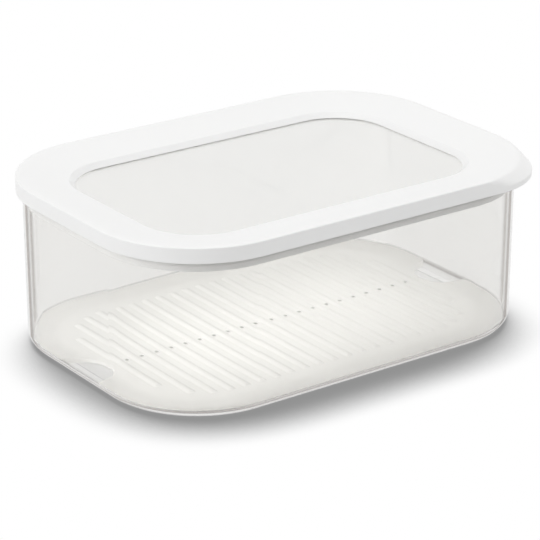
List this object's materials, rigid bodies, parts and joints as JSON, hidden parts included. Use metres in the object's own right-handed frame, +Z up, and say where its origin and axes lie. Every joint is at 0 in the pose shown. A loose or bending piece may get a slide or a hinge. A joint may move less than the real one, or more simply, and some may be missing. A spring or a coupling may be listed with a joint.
{
  "type": "cold cuts storage box",
  "caption": "Flat clear fridge box with rounded corners, a lift-off white lid ring that holds a clear window and has a corner tab, and a loose ribbed drip tray with drain holes.",
  "frame": {"origin": "centre of the box's plan, on the surface it stands on", "axes": "+X along the long side, +Y along the short side, +Z up; the lid's opening tab is at the corner between +X and -Y"},
  "size_m": [0.23, 0.164, 0.084],
  "materials": {
    "clear_plastic": "polished, clear",
    "tray_plastic": "satin",
    "soft_white_plastic": "soft satin"
  },
  "bodies": {
    "tub": {"container": "clear_plastic"},
    "insert": {"insert_tray": "tray_plastic"},
    "lid": {"lid_rim": "soft_white_plastic", "lid_window": "clear_plastic"}
  },
  "joints": [
    {"name": "insert_lift", "type": "slide", "parent": "tub", "child": "insert", "axis": [0, 0, 1], "range_m": [0, 0.1]},
    {"name": "lid_lift", "type": "slide", "parent": "insert", "child": "lid", "axis": [0, 0, 1], "range_m": [0, 0.05]}
  ]
}
